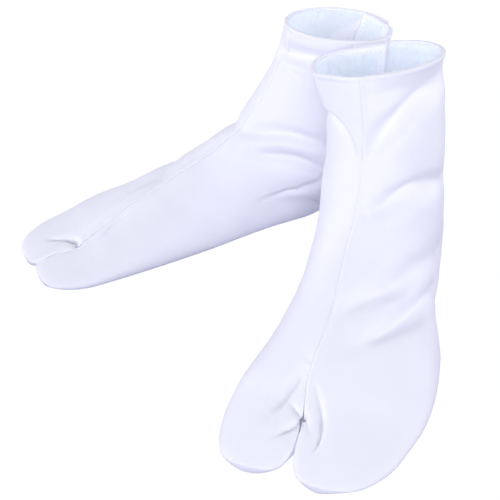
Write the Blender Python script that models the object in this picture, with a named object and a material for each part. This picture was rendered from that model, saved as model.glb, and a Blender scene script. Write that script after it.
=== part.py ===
"""A pair of split-toe tabi socks, standing empty and filled out.

Each sock is cut and sewn from a medial panel (big-toe side), a lateral panel (four-toe side)
and a flat sole. The two panels meet at a seam down the front, run out to the split between
the toes, and overlap at the back of the shaft, where the lateral panel lies outside. Each
panel carries its own napped lining inside the shaft.

A sock is drawn in its own frame: x towards the toes, y to the lateral side, z up, with the
heel near x = 0 and the sole on z = 0. Lengths in the tables are in centimetres.
"""
import bpy
import bmesh
import numpy as np

CM = 0.01
CLOTH = 0.13             # thickness of the outer cloth
NAP = 0.10               # thickness of the lining
GAP = 0.03               # clearance between neighbouring pieces
RIM_TURN = 0.30          # outer cloth showing inside the rim, above the lining
FLAP_EASE = 0.08         # extra room between the overlapping flaps
HEEL_ROUND = 2.9         # length of the sole's rounded heel end
HALF_COLUMNS = 14        # columns from the front seam to the back of a panel
WEB_COLUMNS = 5          # columns down the seam between the toes
TOE_ROWS = 9             # rows from the split to a toe tip
OPENING_STATION = 4      # the opening at the back ends at this station
LINING_STATION = 3       # the lining solid ends at this station

# One row per cross-section from the rim down to the split. Each section lies in the plane
# through its front point (on the front seam) and its back point (heel or sole).
#   front_x, front_z, back_x, back_z
#   seam_y, medial_y, lateral_y   the seam and the widest point of each side
#   widest, roundness             share of the height where it is widest, and fullness
#   sole_m, sole_l                half widths of the sole
#   crest                         how far the toe mounds rise above the seam
#   tilt                          sideways slope of the section, up towards the lateral side
#   steps                         rows to the next section
SECTIONS = {
    "left": [
        (6.8, 16.1, -1.6, 14.7, -1.1, -4.9, 2.9, .50, 2.05, 0, 0, 0, .18, 3),
        (7.1, 14.3, -1.5, 12.5, -.6, -4.2, 3.55, .50, 2.1, 0, 0, 0, .16, 3),
        (7.3, 12.5, -1.0, 10.1, -.4, -3.6, 4.0, .50, 2.1, 0, 0, 0, .04, 3),
        (7.7, 10.4, -.5, 6.6, -.2, -3.5, 4.3, .48, 2.1, 0, 0, 0, 0, 3),
        (8.3, 8.7, -.15, 3.4, -.1, -3.6, 4.5, .42, 2.1, 0, 0, 0, 0, 3),
        (9.1, 7.3, .3, 1.15, -.1, -3.6, 4.6, .38, 2.1, 0, 0, 0, 0, 2),
        (9.6, 6.8, 1.2, 0, -.1, -3.6, 4.7, .37, 2.1, 2.2, 2.3, 0, 0, 3),
        (10.6, 6.1, 2.6, 0, -.1, -3.6, 4.8, .36, 2.1, 2.3, 2.5, 0, 0, 3),
        (13.0, 5.0, 6.8, 0, -.15, -3.5, 5.2, .34, 2.1, 2.6, 3.0, 0, 0, 4),
        (15.6, 4.0, 12.0, 0, -.3, -3.9, 6.3, .31, 2.08, 3.3, 4.4, 0, 0, 4),
        (18.6, 2.6, 17.6, 0, -.5, -4.8, 6.5, .32, 2.1, 4.0, 5.1, .08, 0, 2),
        (19.7, 1.85, 19.4, 0, -1.0, -4.95, 6.25, .35, 2.1, 4.2, 5.1, .22, 0, 2),
        (20.4, 1.3, 20.4, 0, -.4, -5.0, 5.9, .38, 2.1, 4.3, 5.0, .45, 0, 0)],
    "right": [
        (4.3, 14.4, -3.0, 13.7, -.4, -4.2, 3.5, .44, 2.0, 0, 0, 0, -.08, 3),
        (4.7, 13.2, -2.4, 12.0, -.25, -4.4, 2.8, .46, 2.05, 0, 0, 0, -.06, 3),
        (5.2, 11.7, -1.3, 9.8, -.15, -4.1, 2.7, .49, 2.08, 0, 0, 0, -.01, 3),
        (6.3, 9.6, -.5, 6.4, -.1, -3.9, 3.3, .48, 2.1, 0, 0, 0, 0, 3),
        (7.6, 7.95, -.15, 3.4, -.1, -3.8, 3.8, .42, 2.1, 0, 0, 0, 0, 3),
        (8.7, 6.95, .3, 1.15, -.1, -3.6, 4.2, .38, 2.1, 0, 0, 0, 0, 2),
        (9.2, 6.6, 1.2, 0, -.1, -3.4, 4.4, .38, 2.1, 2.2, 2.3, 0, 0, 3),
        (10.2, 5.95, 2.6, 0, -.1, -3.1, 4.6, .37, 2.1, 2.3, 2.5, 0, 0, 3),
        (12.9, 4.75, 6.8, 0, -.1, -3.2, 4.6, .34, 2.1, 2.5, 3.0, 0, 0, 4),
        (15.8, 3.6, 12.0, 0, -.2, -4.0, 4.7, .31, 2.05, 3.2, 3.8, 0, 0, 4),
        (18.6, 2.3, 17.6, 0, -.45, -4.4, 5.0, .32, 2.08, 3.8, 4.2, .06, 0, 3),
        (20.4, 1.2, 20.4, 0, -.4, -4.6, 4.7, .36, 2.1, 4.1, 4.1, .38, 0, 0)]}

# One row per toe mound: tip_x, tip_y, fullness of the split side and of the outer side,
# bulge of the split side and of the outer side, rise of the mound over the split, height
# of the tip's foremost point, widest share, inset of the sole's edge under the tip
TOES = {
    ("left", "medial"): (24.2, -2.85, .66, .80, -.03, .0, 1.10, .95, .42, .40),
    ("left", "lateral"): (24.5, .7, .74, 1.65, -.06, .0, 1.02, .95, .42, .40),
    ("right", "medial"): (24.2, -2.65, .66, .80, -.03, .0, 1.10, .90, .42, .40),
    ("right", "lateral"): (24.3, .3, .50, 1.75, -.06, .0, .98, .78, .42, .40)}

# One row per sock: heel position, heading of the toes, and how far each flap runs past the
# middle of the back (the lateral flap outside, the medial flap under it)
STANCE = {
    "left": {"at": (9.48, 7.18), "heading": -1.8796, "lateral_flap": 3.2, "medial_flap": -1.0},
    "right": {"at": (6.58, 13.90), "heading": -2.7231, "lateral_flap": .8, "medial_flap": 1.5}}

# The largest folds: sock, depth (a trough is negative), width, and the line along it as
# (station, side) points; side runs from -1 at the back over the medial side to 0 at the
# front seam and to 1 at the back over the lateral side
FOLDS = [
    ("left", -.32, .95, ((.3, .62), (.62, .43), (.9, .26), (1.3, .15), (2.0, .06))),
    ("left", -.20, .70, ((2.5, .48), (2.8, .33), (3.3, .19), (4.0, .08))),
    ("left", -.26, .95, ((6.7, .85), (7.4, .66), (8.0, .46), (8.8, .31))),
    ("left", -.22, .50, ((1.1, -.48), (1.35, -.16), (2.0, -.07), (2.7, -.02))),
    ("left", -.14, .50, ((9.6, -.05), (10.4, -.15), (11.3, -.30))),
    ("left", -.20, .75, ((5.6, -.45), (4.7, -.60), (3.9, -.80))),
    ("left", -.18, .70, ((2.9, -.35), (2.6, -.60), (2.2, -.80))),
    ("right", -.24, .70, ((4.6, -.14), (4.2, -.38), (3.9, -.62))),
    ("right", -.16, .60, ((4.0, -.05), (3.5, -.27), (3.1, -.50))),
    ("right", -.22, .55, ((7.1, -.45), (6.0, -.50), (4.8, -.62), (4.3, -.80))),
    ("right", -.16, .55, ((1.2, .05), (1.0, -.20), (.85, -.42))),
    ("right", -.22, .75, ((4.5, .20), (4.2, .45), (4.3, .75))),
    ("right", -.20, .75, ((6.9, .45), (5.6, .55), (4.8, .72)))]

ARC = np.linspace(0, np.pi/2, 25)


def half_section(seam, wide, edge, share, roundness, crest=0.0):
    """Across (y) and up (share of the height) from the seam over one side to the sole."""
    over = np.sin(ARC)**(2/roundness)
    y = np.r_[seam+(wide-seam)*over, edge+(wide-edge)*np.cos(ARC[1:])]
    up = np.r_[share+(1-share)*np.cos(ARC)**(2/roundness)+crest*np.sin(np.pi*np.clip(over, 0, 1)),
               share*(1-np.sin(ARC[1:]))]
    return y, up


def station_rows(table):
    """All rows of the tube: the sections with smooth steps between them, and each row's
    station number."""
    rows = np.array([r[:-1] for r in table], float)
    steps = [r[-1] for r in table[:-1]]
    reach = (np.linalg.norm(np.diff(rows[:, 0:2], axis=0), axis=1)
             + np.linalg.norm(np.diff(rows[:, 2:4], axis=0), axis=1))/2
    at = np.r_[0, np.cumsum(reach)]
    slope = np.diff(rows, axis=0)/reach[:, None]
    tangent = np.vstack([slope[:1], (slope[:-1]*reach[1:, None]+slope[1:]*reach[:-1, None])
                         / (reach[1:]+reach[:-1])[:, None], slope[-1:]])
    out, station = [], []
    for k, count in enumerate(steps):
        for i in range(count+(k == len(steps)-1)):
            t = i/count
            out.append((2*t**3-3*t*t+1)*rows[k]+(t**3-2*t*t+t)*reach[k]*tangent[k]
                       + (3*t*t-2*t**3)*rows[k+1]+(t**3-t*t)*reach[k]*tangent[k+1])
            station.append(k+t)
    out = np.array(out)
    floor = np.array(station) >= next(k for k, r in enumerate(rows) if r[3] == 0)-1e-9
    out[floor, 3] = 0
    out[:, 3] = np.maximum(out[:, 3], 0)
    start = out[floor][0, 2]
    turn = np.clip((start+HEEL_ROUND-out[:, 2])/HEEL_ROUND, 0, 1)
    out[:, 9:11] *= (np.sqrt(1-turn**2)*floor)[:, None]
    return out, np.array(station), floor


def ring_curve(row):
    """One whole section as a dense curve: signed distance from the seam, points, and the
    outward direction in the section's plane. Distance is positive on the lateral side."""
    fx, fz, bx, bz, seam, med, lat, share, full, sole_m, sole_l, crest, tilt = row
    front, back = np.array([fx, 0, fz]), np.array([bx, 0, bz])
    rise = front-back
    axis = rise/np.linalg.norm(rise)
    sides = []
    for wide, edge in ((med, -sole_m), (lat, sole_l)):
        y, up = half_section(seam, wide, edge, share, full, max(crest, 0))
        p = back+up[:, None]*rise
        p[:, 1] = y
        p[:, 0] -= axis[2]*tilt*(y-seam)
        p[:, 2] += axis[0]*tilt*(y-seam)
        sides.append(p)
    far = [np.r_[0, np.cumsum(np.linalg.norm(np.diff(p, axis=0), axis=1))] for p in sides]
    points = np.vstack([sides[0][::-1], sides[1][1:]])
    dist = np.r_[-far[0][::-1], far[1][1:]]
    along = np.gradient(points, axis=0)
    plane = np.cross(axis, (0, 1, 0))
    out = np.cross(along, plane)
    out /= np.linalg.norm(out, axis=1)[:, None]+1e-12
    return dist, points, out


def at_distance(curve, s, closed):
    """Points of a section at signed distances; past the back it carries on round."""
    dist, points, out = curve
    low, high = dist[0], dist[-1]
    if closed:
        s = np.where(s > high, low+(s-high), s)
        s = np.where(s < low, high-(low-s), s)
    pick = [np.stack([np.interp(s, dist, a[:, i]) for i in range(3)], 1) for a in (points, out)]
    return pick[0], pick[1]


def ease(t):
    t = np.clip(t, 0, 1)
    return t*t*(3-2*t)


def panel_tube(sock, side, rows, station):
    """The panel's part of the shaft and foot: a grid with one row per section. The flaps
    step apart where they overlap: the lateral one outwards, the medial one inwards."""
    sign = 1 if side == "lateral" else -1
    step = (CLOTH+NAP+2*GAP+FLAP_EASE)/2
    grid, reach = [], []
    for row, at in zip(rows, station):
        curve = ring_curve(row)
        own = abs(curve[0][-1] if sign > 0 else curve[0][0])
        other = abs(curve[0][0] if sign > 0 else curve[0][-1])
        open_here = np.clip((OPENING_STATION-at)/2, 0, 1)**.8
        past = {k: STANCE[sock][k+"_flap"]*open_here for k in ("lateral", "medial")}
        length = own+past[side]
        s = np.linspace(0, 1, HALF_COLUMNS+1)*length
        p, out = at_distance(curve, sign*s, True)
        lifted = np.clip((OPENING_STATION-at)*3+1, 0, 1)
        if side == "lateral":
            begin = own-past["medial"]-1.3
            p += out*(step*lifted*ease((s-begin)/1.2))[:, None]
        else:
            begin = own-past["lateral"]-1.3
            p -= out*(step*lifted*ease((s-begin)/1.2))[:, None]
        grid.append(p)
        reach.append(length)
    return np.array(grid), np.array(reach)


def toe_mound(sock, side, half):
    """The toe mound that starts at the panel's last section: rows of points from the
    split's floor edge over the top to the outer floor edge, closing on the tip. The first
    rows carry the last section on and melt into the mound's own dome."""
    tip_x, tip_y, full_in, full_out, bulge_in, bulge_out, rise, nose, share, inset = TOES[sock, side]
    sign = 1 if side == "lateral" else -1
    seam = half[0]
    web = np.linspace((seam[0], seam[1], 0), seam, WEB_COLUMNS+1)
    first = np.vstack([web, half[1:]])
    gone = np.r_[0, np.cumsum(np.linalg.norm(np.diff(first, axis=0), axis=1))]
    shares = gone/gone[-1]
    wide = half[np.argmax(np.abs(half[:, 1]-seam[1]))]
    top = half[:, 2].max()
    inner, outer = seam[:2]+(0, sign*.03), wide[:2]
    middle, reach = (inner+outer)/2, (outer-inner)/2
    foot_tip = np.array([tip_x-inset, tip_y])
    outer_edge = abs(half[-1, 1]-middle[1])/abs(reach[1])
    rows = [first]
    for r in range(1, TOE_ROWS):
        t = r/TOE_ROWS
        s, c = np.sin(t*np.pi/2), np.cos(t*np.pi/2)
        ends = []
        for start, full, bulge in ((inner, full_in, -bulge_in), (outer, full_out, bulge_out)):
            ends.append(np.array([start[0]+(foot_tip[0]-start[0])*s,
                                  start[1]+(foot_tip[1]-start[1])*(1-c**full)
                                  + sign*bulge*np.sin(np.pi*t)]))
        centre, half_width = (ends[0]+ends[1])/2, (ends[1]-ends[0])/2
        a = np.pi*t
        if t < .5:
            ridge = (middle[0]+(tip_x-middle[0])*np.sin(a),
                     nose+(top*(1+(rise-1)*np.sin(2*a))-nose)*np.cos(a)**.8)
        else:
            ridge = (foot_tip[0]+inset*np.sin(a), nose*(1+np.cos(a)))
        crown = np.array([max(ridge[0], centre[0]+.02), centre[1], ridge[1]])
        foot = np.array([centre[0], centre[1], 0])
        curve = []
        for way, edge in ((-1, .88), (1, outer_edge)):
            across, up = half_section(0, 1, edge, share, 2.15)
            p = foot+up[:, None]*(crown-foot)
            p[:, :2] += way*across[:, None]*half_width
            curve.append(p)
        line = np.vstack([curve[0][::-1], curve[1][1:]])
        run = np.r_[0, np.cumsum(np.linalg.norm(np.diff(line, axis=0), axis=1))]
        dome = np.stack([np.interp(shares*run[-1], run, line[:, k]) for k in range(3)], 1)
        across = np.maximum((first[:, 1]-middle[1])/reach[1], -1)
        up = first[:, 2]/top
        carried = foot+up[:, None]*(crown-foot)
        carried[:, :2] += across[:, None]*half_width
        melt = ease(t/.5)
        rows.append(carried*(1-melt)+dome*melt)
    return np.array(rows), np.array([foot_tip[0], foot_tip[1], 0.0])


def halves(a, b, c, d):
    """A four-sided cell as two triangles, always cut the same way, so that the layers of
    cloth that follow one another stay parallel."""
    return (a, b, c), (a, c, d)


def panel_surface(sock, side, tube, mound, tip):
    """Outer points and faces of a panel: the tube's grid, then the toe mound's, then a fan
    to the tip. Returns points, faces and the index lists of its edges."""
    n, m = HALF_COLUMNS, WEB_COLUMNS
    count = tube.shape[0]
    points = list(tube.reshape(-1, 3))
    index = np.arange(count*(n+1)).reshape(count, n+1)
    faces = [f for r in range(count-1) for c in range(n)
             for f in halves(index[r, c], index[r+1, c], index[r+1, c+1], index[r, c+1])]
    web = [len(points)+k for k in range(m)]
    points += list(mound[0, :m])
    before = web+list(index[-1])
    first = before
    inner, outer = [before[0]], [before[-1]]
    for r in range(1, len(mound)):
        now = [len(points)+k for k in range(m+n+1)]
        points += list(mound[r])
        for k in range(m+n):
            cell = (before[k], now[k], now[k+1], before[k+1])
            a, b, c, d = (points[i] for i in cell)
            turn = np.linalg.norm(b-d) < np.linalg.norm(a-c)
            faces += halves(*(cell[1:]+cell[:1] if turn else cell))
        before = now
        inner.append(now[0])
        outer.append(now[-1])
    points.append(tip)
    top = len(points)-1
    faces += [(before[k], top, before[k+1]) for k in range(m+n)]
    edges = {"seam": list(index[:, 0]), "back": list(index[:, -1]), "rim": list(index[0]),
             "web": first[:m+1], "sole": list(index[:, -1]), "split": inner, "outer": outer,
             "tip": top, "grid": index}
    return np.array(points), faces, edges


def vertex_normals(points, faces):
    total = np.zeros_like(points)
    f = np.array(faces)
    n = np.cross(points[f[:, 1]]-points[f[:, 0]], points[f[:, 2]]-points[f[:, 0]])
    for k in range(3):
        np.add.at(total, f[:, k], n)
    return total/(np.linalg.norm(total, axis=1)[:, None]+1e-12)


def fold_line(fold, rows, station):
    """The points of a fold's line on the smooth section curves."""
    line = []
    dense = []
    for (u0, v0), (u1, v1) in zip(fold[:-1], fold[1:]):
        for t in np.linspace(0, 1, 7)[:-1]:
            dense.append((u0+(u1-u0)*t, v0+(v1-v0)*t))
    dense.append(fold[-1])
    for u, v in dense:
        row = np.array([np.interp(u, station, rows[:, k]) for k in range(rows.shape[1])])
        curve = ring_curve(row)
        reach = curve[0][-1] if v > 0 else -curve[0][0]
        line.append(at_distance(curve, np.array([v*reach]), False)[0][0])
    return np.array(line)


def fold_depth(points, sock, rows, station):
    """How far every point moves out (or in) for the folds of its sock."""
    move = np.zeros(len(points))
    for owner, depth, width, path in FOLDS:
        if owner != sock:
            continue
        line = fold_line(path, rows, station)
        a, b = line[:-1], line[1:]
        ab = b-a
        t = np.clip(((points[:, None]-a)*ab).sum(-1)/((ab**2).sum(-1)+1e-9), 0, 1)
        d = np.linalg.norm(points[:, None]-(a+t[..., None]*ab), axis=-1)
        k = d.argmin(1)
        near = d[np.arange(len(points)), k]
        along = (k+t[np.arange(len(points)), k])/len(a)
        move += depth*np.exp(-(near/width)**2)*np.sin(np.pi*np.clip(along, .06, .94))**.7
    return move


def place(points, sock):
    """From the sock's own frame to the pair's frame; the right sock is mirrored."""
    x, y, z = points.T
    y = y if sock == "left" else -y
    c, s = np.cos(STANCE[sock]["heading"]), np.sin(STANCE[sock]["heading"])
    px, py = STANCE[sock]["at"]
    return np.stack([px+c*x-s*y, py+s*x+c*y, z], 1)


def add_object(name, points, faces, material, flip):
    mesh = bpy.data.meshes.new(name)
    faces = [tuple(int(i) for i in (f[::-1] if flip else f)) for f in faces]
    mesh.from_pydata([tuple(p) for p in points*CM], [], faces)
    mesh.update()
    ob = bpy.data.objects.new(name, mesh)
    bpy.context.scene.collection.objects.link(ob)
    ob.data.materials.append(material)
    mesh.shade_smooth()
    return ob


def wall(points, normals, faces, thickness):
    """A closed wall: the surface, its copy moved in by the thickness, and the strips along
    every free edge."""
    n = len(points)
    both = np.vstack([points, points-normals*thickness])
    out = [tuple(f) for f in faces]
    out += [tuple(i+n for i in f[::-1]) for f in faces]
    seen = {}
    for f in faces:
        for a, b in zip(f, f[1:]+f[:1]):
            seen[(a, b)] = seen.get((a, b), 0)+1
    for a, b in list(seen):
        if (b, a) not in seen:
            out.append((b, a, a+n, b+n))
    return both, out


def sole_outline(sock, panels):
    """The sole's outline: heel end, medial side, round both toe mounds, lateral side."""
    med, lat = panels["medial"], panels["lateral"]
    floor = med["floor"]
    rows = [r for r in range(len(floor)) if floor[r]]
    path = [med["points"][med["edges"]["back"][r]] for r in rows]
    path += [med["points"][i] for i in med["edges"]["outer"][1:]]
    path += [med["points"][med["edges"]["tip"]]]
    path += [med["points"][i] for i in med["edges"]["split"][:0:-1]]
    path += [(med["points"][med["edges"]["split"][0]]+lat["points"][lat["edges"]["split"][0]])/2]
    path += [lat["points"][i] for i in lat["edges"]["split"][1:]]
    path += [lat["points"][lat["edges"]["tip"]]]
    path += [lat["points"][i] for i in lat["edges"]["outer"][:0:-1]]
    path += [lat["points"][lat["edges"]["back"][r]] for r in rows[:0:-1]]
    path = np.array(path)
    after, before = np.roll(path, -1, 0)-path, path-np.roll(path, 1, 0)
    after /= np.linalg.norm(after, axis=1)[:, None]
    before /= np.linalg.norm(before, axis=1)[:, None]
    mean = after+before
    mean /= np.linalg.norm(mean, axis=1)[:, None]
    side = np.stack([-mean[:, 1], mean[:, 0]], 1)
    turn = np.clip((after[:, 0]*mean[:, 0]+after[:, 1]*mean[:, 1]), .35, 1)
    area = np.sum(path[:, 0]*np.roll(path[:, 1], -1)-np.roll(path[:, 0], -1)*path[:, 1])
    split = np.zeros(len(path), bool)
    split[len(rows)+len(med["edges"]["outer"]):][:2*len(med["edges"]["split"])-1] = True
    inward = side*np.sign(area)*(np.where(split, 2*GAP, GAP)/turn)[:, None]
    path[:, :2] += inward
    path[:, 2] = 0
    return path if area > 0 else path[::-1]


def orient(points, faces, inside):
    """Faces turned so that their normals point away from the inside point of each."""
    normals = vertex_normals(points, faces)
    if np.sum((points-inside)*normals) < 0:
        return [tuple(f[::-1]) for f in faces], -normals
    return faces, normals


def build_sock(sock, materials):
    rows, station, floor = station_rows(SECTIONS[sock])
    panels = {}
    for side in ("medial", "lateral"):
        tube, reach = panel_tube(sock, side, rows, station)
        mound, tip = toe_mound(sock, side, tube[-1])
        points, faces, edges = panel_surface(sock, side, tube, mound, tip)
        middle = np.interp(points[:, 2], [0, 4, 16], [1.2, 3, 14])
        inside = np.stack([np.clip(points[:, 0], 2, 23), points[:, 1]*.3, middle], 1)
        faces, normals = orient(points, faces, inside)
        points = points+normals*fold_depth(points, sock, rows, station)[:, None]
        points[:, 2] = np.maximum(points[:, 2], 0)
        normals = vertex_normals(points, faces)
        panels[side] = {"points": points, "faces": faces, "normals": normals,
                        "edges": edges, "floor": floor}
    med, lat = panels["medial"], panels["lateral"]

    # both panels of a sewn edge share its direction, so their cut edges lie face to face
    sewn_back = [r for r in range(len(station)) if station[r] > OPENING_STATION+.3]
    for key, which in (("seam", range(len(station))), ("back", sewn_back)):
        for r in which:
            a, b = med["edges"][key][r], lat["edges"][key][r]
            n = med["normals"][a]+lat["normals"][b]
            n /= np.linalg.norm(n)
            med["normals"][a], lat["normals"][b] = n, n
    for side, p in panels.items():
        e, grid = p["edges"], p["edges"]["grid"]
        down = [e["back"][r] for r in range(len(station)) if floor[r]]
        down += e["split"]+e["outer"]+[e["tip"]]
        p["normals"][down] = (0, 0, -1)
        sign = 1 if side == "lateral" else -1
        moved = p["points"].copy()
        for r in range(len(station)):
            for edge, near in ((grid[r, 0], grid[r, 1]), (grid[r, -1], grid[r, -2])):
                if edge == grid[r, -1] and (floor[r] or station[r] < OPENING_STATION-.01):
                    continue
                way = p["points"][near]-p["points"][edge]
                moved[edge] += way/np.linalg.norm(way)*GAP/2
        heel = next(r for r in range(len(station)) if floor[r])
        moved[grid[heel, -1]] += (0, sign*GAP/2, 0)
        moved[e["web"]] += (GAP/2, sign*.02, 0)
        p["moved"] = moved

    made = {}
    for side, p in panels.items():
        points, faces = wall(p["moved"], p["normals"], p["faces"], CLOTH)
        made[side+"_panel"] = (points, faces, "outer_cloth")

        # the lining follows the panel's inner side, short of the rim and of the flap's end
        grid = p["edges"]["grid"]
        last = int(np.searchsorted(station, LINING_STATION-1e-6))
        pts, nrm = p["moved"][grid[:last+1, :-1]], p["normals"][grid[:last+1, :-1]]
        share = RIM_TURN/np.linalg.norm(pts[1]-pts[0], axis=1)[:, None]
        pts[0], nrm[0] = pts[0]+(pts[1]-pts[0])*share, nrm[0]+(nrm[1]-nrm[0])*share
        count, wide = pts.shape[:2]
        pts, nrm = pts.reshape(-1, 3), nrm.reshape(-1, 3)
        nrm /= np.linalg.norm(nrm, axis=1)[:, None]
        cell = np.arange(count*wide).reshape(count, wide)
        cells = [f for r in range(count-1) for c in range(wide-1)
                 for f in halves(cell[r, c], cell[r+1, c], cell[r+1, c+1], cell[r, c+1])]
        if np.sum(vertex_normals(pts, cells)*nrm) < 0:
            cells = [f[::-1] for f in cells]
        points, faces = wall(pts-nrm*(CLOTH+GAP), nrm, cells, NAP)
        made[side+"_lining"] = (points, faces, "lining")

    # the sole is one flat piece with a tongue under each toe mound
    outline = sole_outline(sock, panels)
    n = len(outline)
    points = np.vstack([outline, outline+(0, 0, CLOTH)])
    faces = [tuple(range(n))[::-1], tuple(range(n, 2*n))]
    faces += [(k, (k+1) % n, n+(k+1) % n, n+k) for k in range(n)]
    made["sole"] = (points, faces, "sole_cloth")

    root = bpy.data.objects.new(sock+"_sock", None)
    bpy.context.scene.collection.objects.link(root)
    objects = []
    for name, (points, faces, slot) in made.items():
        ob = add_object(sock+"_"+name, place(points, sock), faces, materials[slot], sock == "right")
        ob.parent = root
        objects.append(ob)
    return objects


def cloth_material(name, colour, roughness):
    material = bpy.data.materials.new(name)
    material.use_nodes = True
    shader = material.node_tree.nodes["Principled BSDF"]
    shader.inputs["Base Color"].default_value = (*colour, 1)
    shader.inputs["Roughness"].default_value = roughness
    shader.inputs["Metallic"].default_value = 0
    return material


for old in list(bpy.data.objects):
    bpy.data.objects.remove(old, do_unlink=True)

MATERIALS = {"outer_cloth": cloth_material("outer_cloth", (.86, .86, .90), .62),
             "sole_cloth": cloth_material("sole_cloth", (.84, .84, .87), .85),
             "lining": cloth_material("lining", (.78, .83, .88), .95)}

PAIR = build_sock("left", MATERIALS)+build_sock("right", MATERIALS)

# the origin goes to the middle of the pair's footprint, on the ground
corners = np.array([v.co for ob in PAIR for v in ob.data.vertices])
low, high = corners.min(0), corners.max(0)
CENTRE = np.array([(low[0]+high[0])/2, (low[1]+high[1])/2, 0])
for ob in PAIR:
    flat = np.array([v.co for v in ob.data.vertices])-CENTRE
    ob.data.vertices.foreach_set("co", flat.ravel())
    ob.data.update()
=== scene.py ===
"""The looks of a pair of split-toe tabi socks that stand empty and filled out.

Each sock is drawn in its own frame, in centimetres: x towards the toes, y to the lateral
side, z up, the heel near x = 0 and the sole on z = 0. The finished meshes are in metres.
"""

import bpy
import numpy as np
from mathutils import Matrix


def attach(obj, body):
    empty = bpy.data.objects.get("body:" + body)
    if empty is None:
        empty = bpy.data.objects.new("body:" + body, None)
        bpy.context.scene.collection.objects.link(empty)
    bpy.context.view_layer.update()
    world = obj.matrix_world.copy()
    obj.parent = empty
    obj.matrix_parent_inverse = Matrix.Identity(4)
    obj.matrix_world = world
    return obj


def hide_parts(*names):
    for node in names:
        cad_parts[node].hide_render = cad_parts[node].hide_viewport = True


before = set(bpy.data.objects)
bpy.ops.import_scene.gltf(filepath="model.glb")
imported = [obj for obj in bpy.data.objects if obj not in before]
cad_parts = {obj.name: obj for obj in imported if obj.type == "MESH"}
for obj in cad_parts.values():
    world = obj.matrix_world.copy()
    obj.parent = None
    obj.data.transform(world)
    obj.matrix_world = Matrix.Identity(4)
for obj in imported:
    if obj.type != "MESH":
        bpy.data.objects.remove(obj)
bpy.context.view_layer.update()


# ---------------------------------------------------------------------------------------
# Outer panels. Each sock has a medial panel over the big toe and a lateral panel over the
# other four, cut from white stretch tricot. They are sewn together down the front, turned
# in round the mouth and along the open back, and sewn to the sole all round the foot.

CM = 0.01
CLOTH = 0.11             # tricot with the fleece bonded behind it
HEM = 0.30               # the turned edge: cloth, lining and cloth again
SEAM_INSET = 0.02        # a sewn edge rolls in by this much
HEM_INSET = 0.15         # a turned edge rolls over by this much
FLAP_STEP = 0.185        # each flap steps out of the other's way by this much
FLAP_BEFORE, FLAP_RISE = 1.3, 1.2   # how far before the other's edge, over what length
FLAP_TAPER = 2           # the flaps narrow over this many stations above the opening's end
OPENING_STATION = 4      # the opening at the back ends at this station
HEEL_STATION = 6         # the sole starts at this station
HEEL_ROUND = 2.9         # length of the sole's rounded heel end
ROW_STEP = 0.17          # distance between rows of the mesh
RIM_ROWS = np.array([.135, .19, .25, .32, .40, .50, .62, .77])
HEEL_ROWS = np.array([0, .015, .05, .11])
EDGE_STEP, EDGE_COLUMNS = 0.065, 10
MIDDLE_COLUMNS = 84
WEB_COLUMNS = 18         # columns down the seam between the toes
TOE_ROWS = 44            # rows from the split to a toe tip
MOUND_REACH = 3.8        # about how far a toe mound runs
MOUND_CLOTH = 4.0        # how much cloth it takes up lengthways
LIP_RINGS = 5            # rings that round a cut edge
LIP_CLOTH = .04          # how much cloth each ring takes up
LIP_SQUARE = .55         # 1 rounds it as a half circle, less leaves it squarer

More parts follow.
